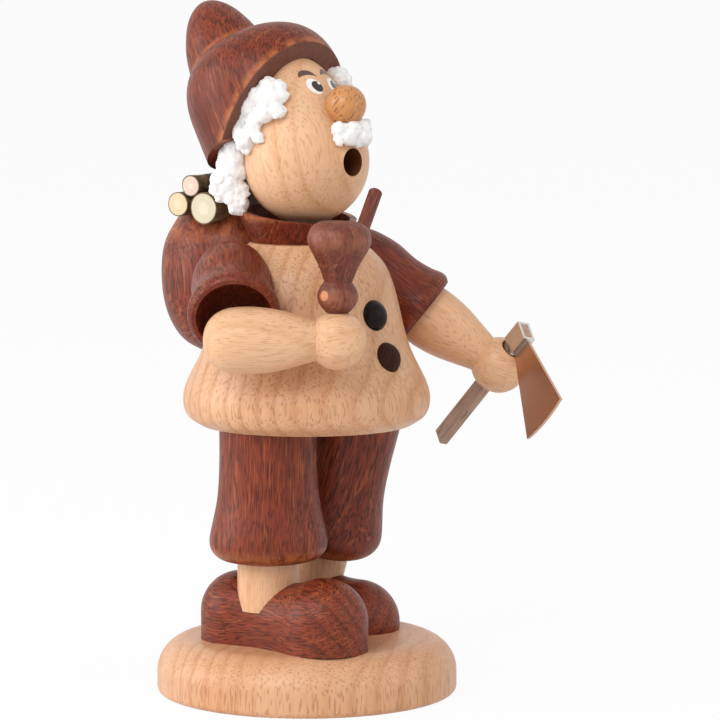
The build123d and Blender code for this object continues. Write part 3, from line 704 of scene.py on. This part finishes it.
@dataclass
class Face:
    """The painted eyes and brows, thin enamel on the head. Lengths are in mm."""

    eye_side: float = 3.0  # from the middle
    eye_height: float = 141.35
    eye_radius: float = 1.95
    eye_width: float = 0.87  # of its radius
    pupil_shift: float = 0.6  # towards the figure's left
    pupil_drop: float = 0.05
    pupil_radius: float = 1.33
    pupil_width: float = 0.92
    gleam: tuple[float, float] = (0.75, 0.62)  # across and up from the pupil's middle
    gleam_radius: float = 0.34
    squash: float = 0.89  # a patch's height for its radius
    patch_rings: int = 4  # rings of faces in a patch, so that it follows the head
    patch_inset: float = 0.22  # of its radius, between two rings
    brow_side: float = 2.75
    brow_height: float = 142.3
    brow_width: float = 1.2
    brow_radius: float = 3.0
    brow_sweep: float = 104.0  # degrees round the brow's hub
    brow_tilt: float = 6.0  # degrees, rising towards the nose
    brow_squash: float = 0.72
    brow_steps: int = 18
    brow_taper: float = 2.2  # power of its thinning towards the tips
    brow_tip: float = 0.12  # of its width, left at the tips
    in_front: float = -16.0  # Y where a patch starts, clear of the head
    forehead: Triple = (0.0, -0.78, 0.62)  # outward there
    coat: float = 0.05  # one coat of enamel

    def laid(self, piece: Piece, name: str, layer: int, paint: Material) -> None:
        """Lays a flat patch onto the head, gives it a wall that reaches into the wood and paints it.

        Args:
            piece: The flat patch, in front of the head and facing it.
            name: Its name.
            layer: How many coats lie under it.
            paint: Its enamel.
        """
        activate(piece)
        bpy.ops.object.transform_apply(location=True, rotation=True, scale=True)
        wrap = piece.modifiers.new("wrap", "SHRINKWRAP")
        wrap.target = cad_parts["head"]
        wrap.wrap_method = "PROJECT"
        wrap.use_project_y = True
        wrap.use_negative_direction = True
        finish_modifiers(piece)
        outward = Vector(self.forehead)
        lift = self.coat * (layer + 1) * MM
        with editing(piece):
            bpy.ops.mesh.normals_make_consistent(inside=False)
            bpy.ops.transform.translate(value=outward * lift)
        if piece.data.polygons[0].normal.dot(outward) < 0:
            with editing(piece):
                bpy.ops.mesh.flip_normals()
        wall = piece.modifiers.new("wall", "SOLIDIFY")
        wall.thickness = (self.coat * 2 + lift / MM * 0.5) * MM
        wall.offset = -1
        finish_modifiers(piece)
        bpy.ops.object.shade_smooth_by_angle(angle=math.radians(50))
        dress(piece, paint)
        settle(piece, name)

    def disc(self, name: str, across: float, height: float, radius: float, layer: int,
             paint: Material, width: float = 1.0) -> None:
        """One round patch of paint.

        Args:
            name: The patch's name.
            across: Its X in mm.
            height: Its Z in mm.
            radius: Its radius in mm, as painted on the sloping forehead.
            layer: How many coats lie under it.
            paint: Its enamel.
            width: How wide it is for its radius.
        """
        deselect()
        bpy.ops.mesh.primitive_circle_add(vertices=40, radius=radius * MM, fill_type="NGON",
                                          location=(across * MM, self.in_front * MM, height * MM),
                                          rotation=(math.radians(90), 0, 0))
        piece = bpy.context.object
        with editing(piece):
            for _ in range(self.patch_rings):
                bpy.ops.mesh.inset(thickness=radius * self.patch_inset * MM, depth=0)
        piece.scale = (width, self.squash, 1.0)
        self.laid(piece, name, layer, paint)

    def brow(self, name: str, side: int, paint: Material) -> None:
        """One brow: a short stroke that rises in an arc and thins at both ends.

        Args:
            name: The stroke's name.
            side: -1 on the figure's right, 1 on its left.
            paint: Its enamel.
        """
        hub = Vector((-self.brow_width / 2 * MM, -self.brow_radius * MM, 0))
        start, sweep = math.radians(90), math.radians(self.brow_sweep)
        middle_radius = self.brow_radius * MM
        deselect()
        bpy.ops.mesh.primitive_plane_add(size=self.brow_width * MM)
        piece = bpy.context.object
        pick(piece, lambda middle: middle.x > 0, Domain.VERT)
        bpy.ops.mesh.delete(type="VERT")
        bpy.ops.mesh.select_all(action="SELECT")
        bpy.ops.mesh.spin(steps=self.brow_steps, angle=sweep, center=hub, axis=(0, 0, 1))
        bpy.ops.object.mode_set(mode="OBJECT")
        for vertex in piece.data.vertices:
            arm = vertex.co - hub
            angle = abs(math.atan2(arm.y, arm.x) - start) / sweep
            thin = max(1 - abs(2 * angle - 1) ** self.brow_taper, self.brow_tip)
            vertex.co = hub + arm.normalized() * (middle_radius + (arm.length - middle_radius) * thin)
        with editing(piece):
            bpy.ops.mesh.subdivide(number_cuts=1)
        # The arc is turned back by half its sweep, whichever way it was spun, so that it stands upright.
        middle = sum((vertex.co for vertex in piece.data.vertices), Vector()) / len(piece.data.vertices)
        spun = math.atan2(middle.y - hub.y, middle.x - hub.x) - start
        piece.matrix_world = (
            Matrix.Translation((side * self.brow_side * MM, self.in_front * MM, self.brow_height * MM))
            @ Matrix.Rotation(math.radians(90), 4, "X")
            @ Matrix.Rotation(math.radians(side * -self.brow_tilt), 4, "Z")
            @ Matrix.Diagonal((1, self.brow_squash, 1, 1))
            @ Matrix.Rotation(-math.copysign(sweep / 2, spun), 4, "Z") @ Matrix.Translation(-hub))
        self.laid(piece, name, 0, paint)

    def build(self) -> None:
        """Paints both eyes and both brows."""
        white = Paint("white_enamel", "F4F1EE").material()
        dark = Paint("dark_enamel", "2A1C18", roughness=0.18).material()
        brown = Paint("brown_enamel", "5A3A30", roughness=0.3).material()
        for side, label in ((-1, "right"), (1, "left")):
            eye = side * self.eye_side
            pupil = eye + self.pupil_shift
            self.disc(f"eye_white_{label}", eye, self.eye_height, self.eye_radius, 0, white, self.eye_width)
            self.disc(f"pupil_{label}", pupil, self.eye_height - self.pupil_drop, self.pupil_radius, 1, dark,
                      self.pupil_width)
            self.disc(f"gleam_{label}", pupil + self.gleam[0], self.eye_height + self.gleam[1], self.gleam_radius, 2,
                      white)
            self.brow(f"brow_{label}", side, brown)


@dataclass
class Fleece:
    """Hair and moustache: small balls of fleece pressed together, then ruffled. Lengths are in mm."""

    voxel: float = 0.30
    buds: int = 3  # smaller balls round each ball
    bud_reach: float = 0.72  # of the ball's radius, from its middle
    bud_least: float = 0.42  # of the ball's radius
    bud_most: float = 0.58
    curl: float = 1.0  # across a curl
    ruffle: float = 1.1  # that a curl stands out
    fluff_size: float = 0.36  # of a curl
    fluff: float = 0.30  # that the fluff stands out
    upper: tuple[Ball, ...] = (
        (-11.0, 1.3, 141.0, 2.4), (-9.9, -0.9, 141.2, 1.9), (-10.5, -2.2, 139.3, 1.8), (-12.2, 3.9, 139.2, 2.6),
        (-12.2, -0.5, 138.3, 2.7), (-12.4, -3.0, 135.9, 1.8), (-13.5, 0.1, 135.6, 2.5), (-12.9, 5.6, 136.6, 2.6),
        (-12.9, 6.9, 134.2, 2.3), (-13.8, 2.8, 133.6, 2.1), (-13.0, 8.4, 131.8, 2.1), (-14.5, 3.2, 131.4, 2.0),
        (-14.7, 1.2, 129.8, 1.4), (-14.6, 5.4, 128.9, 2.3), (-14.9, 6.6, 130.6, 2.0), (-14.4, 5.0, 126.9, 1.3),
    )
    nape: tuple[Ball, ...] = (
        (-13.3, 10.6, 127.6, 2.3), (-13.4, 12.0, 125.4, 2.4), (-12.9, 9.8, 124.9, 2.3), (-13.8, 12.6, 122.8, 2.3),
        (-13.2, 11.0, 122.0, 2.8), (-12.3, 9.6, 121.6, 2.2), (-14.2, 12.8, 120.4, 2.3), (-13.2, 11.1, 118.9, 2.7),
        (-12.3, 9.5, 117.2, 2.3), (-14.0, 11.9, 117.8, 2.2), (-12.4, 9.3, 114.8, 2.1), (-13.2, 10.0, 113.2, 1.7),
        (-12.3, 8.9, 112.8, 1.4), (-13.3, 10.6, 115.6, 2.2), (-15.2, 13.4, 119.6, 1.9),
        (-15.3, 14.0, 117.6, 1.8), (-14.6, 13.0, 115.9, 1.6),
    )
    left: tuple[Ball, ...] = (
        (11.2, 1.9, 143.6, 1.8), (12.2, 0.9, 143.4, 1.9), (12.9, -0.3, 142.2, 1.6), (12.0, 0.9, 141.9, 2.0),
        (13.2, -0.8, 141.0, 1.1), (10.4, -0.6, 142.6, 1.5),
    )
    moustache: tuple[Ball, ...] = (
        (-3.1, -13.7, 132.0, 1.8), (-0.6, -15.4, 131.6, 2.2), (2.4, -15.2, 131.8, 2.3), (4.2, -13.8, 131.2, 1.8),
        (1.6, -16.5, 130.2, 1.9), (-1.8, -15.2, 129.9, 1.8), (3.0, -15.6, 129.4, 1.7), (-3.6, -13.9, 129.6, 1.4),
        (0.6, -15.6, 128.8, 1.3), (4.0, -14.6, 129.0, 1.2),
    )

    @staticmethod
    def mirrored(balls: Sequence[Ball]) -> tuple[Ball, ...]:
        """The same balls on the head's other side."""
        return tuple((-x, y, z, radius) for x, y, z, radius in balls)

    def tuft(self, name: str, balls: Sequence[Ball], node: str, wool: Material, seed: int) -> None:
        """One tuft.

        Args:
            name: The tuft's name.
            balls: X, Y, Z and radius of its balls, in mm.
            node: The node that it stands for.
            wool: Its material.
            seed: Start of its random numbers.
        """
        rng = random.Random(seed)
        parts = []

        def add_ball(place: Sequence[float], radius: float, detail: int) -> None:
            """Adds one ball.

            Args:
                place: Its middle in metres.
                radius: Its radius in metres.
                detail: How finely it is divided.
            """
            deselect()
            bpy.ops.mesh.primitive_ico_sphere_add(subdivisions=detail, radius=radius, location=place)
            parts.append(bpy.context.object)

        for x, y, z, radius in balls:
            add_ball((x * MM, y * MM, z * MM), radius * MM, 3)
            for _ in range(self.buds):
                bud = Vector((rng.uniform(-1, 1), rng.uniform(-1, 1), rng.uniform(-1, 1))).normalized()
                place = (Vector((x, y, z)) + bud * radius * self.bud_reach) * MM
                add_ball(place, radius * rng.uniform(self.bud_least, self.bud_most) * MM, 2)
        piece = activate(*parts)
        bpy.ops.object.join()
        activate(piece)
        bpy.ops.object.transform_apply(location=True, rotation=True, scale=True)
        remesh = piece.modifiers.new("press", "REMESH")
        remesh.mode = "VOXEL"
        remesh.voxel_size = self.voxel * MM
        displace(piece, f"{name}_curls", self.curl, self.ruffle)
        soften = piece.modifiers.new("soften", "SMOOTH")
        soften.iterations = 2
        displace(piece, f"{name}_fluff", self.curl * self.fluff_size, self.fluff, detail=3)
        finish_modifiers(piece)
        bpy.ops.object.shade_smooth()
        dress(piece, wool)
        settle(piece, name, node)

    def build(self) -> None:
        """Makes every tuft. The photograph shows only the foremost balls of the left side; the rest is mirrored."""
        wool = Wool().material()
        self.tuft("tuft_right", self.upper, "hair_right", wool, 11)
        self.tuft("tuft_nape", self.nape, "hair_nape", wool, 12)
        self.tuft("tuft_left", self.left + self.mirrored(self.upper[3:]), "hair_left", wool, 13)
        self.tuft("tuft_nape_left", self.mirrored(self.nape), "hair_nape_left", wool, 15)
        self.tuft("moustache_curls", self.moustache, "moustache", wool, 14)


@dataclass(frozen=True)
class Log:
    """One cut branch. Lengths are in mm."""

    start: Triple  # middle of its end on the figure's right
    heading: float  # degrees from +X towards +Y
    radius: float
    length: float
    ground: str  # colour of its sawn ends
    ring: str  # colour of their rings

    def axis(self) -> Vector:
        """The branch's direction."""
        angle = math.radians(self.heading)
        return Vector((math.cos(angle), math.sin(angle), 0))

    def middle(self) -> Vector:
        """The branch's middle."""
        return Vector(self.start) + self.axis() * self.length / 2


LOGS = {
    "log_upper": Log((-16.2, 21.57, 117.97), 9.75, 2.42, 32.0, "DDC4B4", "C8A08C"),
    "log_rear": Log((-17.0, 25.0, 113.6), 9.5, 2.8, 34.0, "DEC8A2", "C2A478"),
    "log_front": Log((-16.0, 17.6, 112.9), 10.0, 3.7, 34.0, "D4CAAE", "B8AA88"),
}


@dataclass
class Firewood:
    """The cut branches on the basket, with their bark on and their ends sawn."""

    bark: str = "6E5A3A"
    bark_pale: str = "8E7A56"
    bark_dark: str = "443524"
    heart: str = "F2E6D2"
    rim: str = "5E4630"
    ring_width: float = 0.7  # mm between the yearly rings of a thin branch
    cuts: int = 28  # rings of faces along a branch, so that it can be uneven
    end: float = 0.999  # of half a branch's length, beyond which a face is a sawn end
    lump: float = 5.0  # mm along a lump
    lump_height: float = 0.4  # mm

    def bark_material(self) -> Material:
        """Builds the bark: smooth young skin with long dark streaks and pale lichen spots.

        Returns:
            The material.
        """
        material, nodes = new_material("young_bark")
        place = nodes.add("TexCoord").outputs["Object"]
        # Streaks are over four times as long as wide, along X as the branches lie; spots are about 1.2 mm across.
        lying = nodes.add("Mapping", {"Vector": place, "Scale": (220, 1000, 1000)})
        streak = nodes.add("TexNoise", {"Vector": lying, "Scale": 0.9, "Detail": 4.0, "Roughness": 0.65})
        spots = nodes.add("TexNoise", {"Vector": place, "Scale": 420.0, "Detail": 3.0})
        colour = nodes.layered(self.bark, [
            (self.bark_dark, streak, 0.42, 0.62, 1.0), (self.bark_pale, spots, 0.52, 0.66, 0.7)])
        bump = nodes.add("Bump", {"Height": streak, "Strength": 0.8, "Distance": 0.15 * MM})
        nodes.surface({"Base Color": colour, "Roughness": 0.62, "Normal": bump, "IOR": 1.45})
        return material

    def end_material(self, name: str, log: Log) -> Material:
        """Builds one branch's sawn ends: pale wood with yearly rings round its own pith and saw marks.

        Args:
            name: The branch's name.
            log: The branch.

        Returns:
            The material.
        """
        material, nodes = new_material(f"sawn_end_{name}")
        turn = turn_to(log.axis()).inverted()
        place = nodes.add("TexCoord").outputs["Object"]
        local = nodes.add("Mapping", {
            "Vector": place, "Scale": IN_MM, "Rotation": tuple(turn.to_euler()),
            "Location": tuple(-(turn @ log.middle()))})
        away = nodes.off_axis(local)
        wander = nodes.add("TexNoise", {"Vector": local, "Scale": 0.8, "Detail": 2.0})
        edge = nodes.add("Math", {0: away, 1: wander}, operation="ADD")
        rings = nodes.add("Math", {0: edge, 1: self.ring_width}, operation="DIVIDE")
        wave = nodes.add("Math", {0: rings}, operation="FRACT")
        colour = nodes.layered(log.ground, [
            (log.ring, wave, 0.55, 0.95, 0.35),
            (self.heart, edge, 0.62 * log.radius, 0.40 * log.radius, 0.35),
            (self.rim, away, 0.88 * log.radius, 0.96 * log.radius, 1.0),
        ])
        bump = nodes.add("Bump", {"Height": wander, "Strength": 0.4, "Distance": 0.1 * MM})
        nodes.surface({"Base Color": colour, "Roughness": 0.7, "Normal": bump, "IOR": 1.45})
        return material

    def branch(self, name: str, log: Log, bark: Material) -> None:
        """One branch: bark along it, a slightly uneven line, sawn ends.

        Args:
            name: The node that it stands for.
            log: Its place and size.
            bark: The bark's material.
        """
        deselect()
        bpy.ops.mesh.primitive_cylinder_add(vertices=48, radius=log.radius * MM, depth=log.length * MM,
                                            location=log.middle() * MM, rotation=turn_to(log.axis()).to_euler())
        piece = bpy.context.object
        half = log.length / 2 * MM
        pick(piece, lambda point: abs(point.z) < half * 0.5, Domain.EDGE)
        bpy.ops.mesh.subdivide(number_cuts=self.cuts)
        bpy.ops.object.mode_set(mode="OBJECT")
        pick(piece, lambda point: abs(point.z) > half * self.end)
        bpy.ops.mesh.inset(thickness=log.radius * 0.10 * MM, depth=0.0)
        bpy.ops.mesh.inset(thickness=log.radius * 0.3 * MM, depth=0.02 * MM)
        bpy.ops.object.mode_set(mode="OBJECT")
        piece.data.materials.append(bark)
        piece.data.materials.append(self.end_material(name, log))
        for polygon in piece.data.polygons:
            polygon.material_index = int(abs(polygon.center.z) > half * self.end)
        displace(piece, f"{name}_knots", self.lump, self.lump_height, world=True)
        finish_modifiers(piece)
        bpy.ops.object.shade_smooth_by_angle(angle=math.radians(40))
        settle(piece, f"{name}_bark", name)

    def build(self) -> None:
        """Makes every branch."""
        bark = self.bark_material()
        for name, log in LOGS.items():
            self.branch(name, log, bark)


@dataclass
class Ironwork:
    """The axe's sheet steel and the pressed tin dish with its nail."""

    blade_axis: Triple = (-0.33, -0.646, -0.687)
    hand: Triple = (41.65, -22.95, 74.85)  # mm
    dish: Triple = (0.0, 0.0, 70.0)  # mm

    def build(self) -> None:
        """Dresses the metal pieces."""
        # On the axe's blade, past its eye, the steel shows the painted warm reflection.
        steel = Steel("satin_steel", "D2CECA", "C6A28C", self.blade_axis, (self.hand, self.blade_axis)).material()
        tin = Steel("pressed_tin", "CFC9B8", "B9B09A", (1, 0, 0), (self.dish, UP), roughness=0.38).material()
        dress(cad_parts["axe_head"], steel)
        dress(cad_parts["incense_plate"], tin)
        dress(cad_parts["plate_nail"], tin)


@dataclass
class Studio:
    """White floor, soft lamps and the camera. Lengths are in metres."""

    lens: float = 195.0  # mm
    sensor: float = 36.0  # mm
    camera_place: Triple = (-0.6491, -0.6223, 0.1801)
    camera_target: Triple = (0.00846, -0.00907, 0.0777)
    lamp_target: Triple = (0.0, 0.0, 0.08)
    lamps: tuple[tuple[str, Triple, float, float], ...] = (  # name, place, side and watts
        ("key", (-0.95, -0.25, 0.85), 0.7, 7.5),
        ("fill", (0.35, -1.05, 0.55), 0.9, 2.6),
        ("side", (-0.85, 0.75, 0.40), 0.8, 7.0),
    )
    sky_level: float = 0.52  # the sky's light where it isn't seen directly
    floor_size: float = 60.0
    floor_glow: float = 0.93  # share of the seen floor that is plain white

    @staticmethod
    def aimed(place: Triple, target: Triple) -> Euler:
        """The turn that points a lamp or camera at a place from another."""
        return (Vector(target) - Vector(place)).to_track_quat("-Z", "Y").to_euler()

    def lamp(self, name: str, place: Triple, size: float, power: float) -> None:
        """One square soft lamp that faces the figure.

        Args:
            name: The lamp's name.
            place: Its place in metres.
            size: Its side in metres.
            power: Its power in watts.
        """
        bpy.ops.object.light_add(type="AREA", location=place, rotation=self.aimed(place, self.lamp_target))
        lamp = bpy.context.object
        lamp.name = name
        lamp.data.size = size
        lamp.data.energy = power

    @staticmethod
    def seen_directly(nodes: Nodes) -> Node:
        """Tells what is seen from what only sends light on.

        Args:
            nodes: The nodes of the surface's material or of the world.

        Returns:
            One where the camera, a reflection or a clear piece sees it, else zero.
        """
        path = nodes.add("LightPath").outputs
        both = nodes.add("Math", {0: path["Is Camera Ray"], 1: path["Is Glossy Ray"]}, operation="MAXIMUM")
        return nodes.add("Math", {0: both, 1: path["Is Transmission Ray"]}, operation="MAXIMUM")

    def world(self) -> None:
        """White where it is seen, plain grey light elsewhere."""
        world = bpy.data.worlds.new("white_room")
        bpy.context.scene.world = world
        world.use_nodes = True
        world.node_tree.nodes.clear()
        nodes = Nodes(world.node_tree)
        strength = nodes.add("MapRange", {"Value": self.seen_directly(nodes), "To Min": self.sky_level})
        sky = nodes.add("Background", {"Color": (1, 1, 1, 1), "Strength": strength})
        nodes.add("OutputWorld", {"Surface": sky})

    def floor(self) -> None:
        """A wide pale floor that stays white in the picture and keeps the shadow."""
        deselect()
        bpy.ops.mesh.primitive_plane_add(size=self.floor_size)
        floor = bpy.context.object
        floor.name = "floor"
        material, nodes = new_material("pale_floor")
        paper = nodes.add("BsdfDiffuse", {"Color": linear("F4F4F4")})
        glow = nodes.add("Emission", {"Color": (1, 1, 1, 1), "Strength": 1.0})
        share = nodes.add("Math", {0: self.seen_directly(nodes), 1: self.floor_glow}, operation="MULTIPLY")
        mix = nodes.add("MixShader", {0: share, 1: paper, 2: glow})
        nodes.add("OutputMaterial", {"Surface": mix})
        dress(floor, material)

    def camera(self) -> None:
        """The camera, where the photograph was taken."""
        turn = self.aimed(self.camera_place, self.camera_target)
        bpy.ops.object.camera_add(location=self.camera_place, rotation=turn)
        camera = bpy.context.object
        camera.name = "camera"
        camera.data.lens = self.lens
        camera.data.sensor_width = self.sensor
        bpy.context.scene.camera = camera

    def build(self) -> None:
        """Sets up the picture."""
        self.camera()
        self.world()
        self.floor()
        for lamp in self.lamps:
            self.lamp(*lamp)
        bpy.context.scene.view_settings.view_transform = "Standard"


def main() -> None:
    """Builds the smoker's looks, class by class."""
    logging.basicConfig(level=logging.INFO, format="%(name)s: %(message)s")
    deselect()
    for part in (Studio(), TurnedPieces(), Face(), Fleece(), Firewood(), Ironwork()):
        part.build()
        LOG.info("%s built", type(part).__name__)
    deselect()


if __name__ == "__main__":
    main()
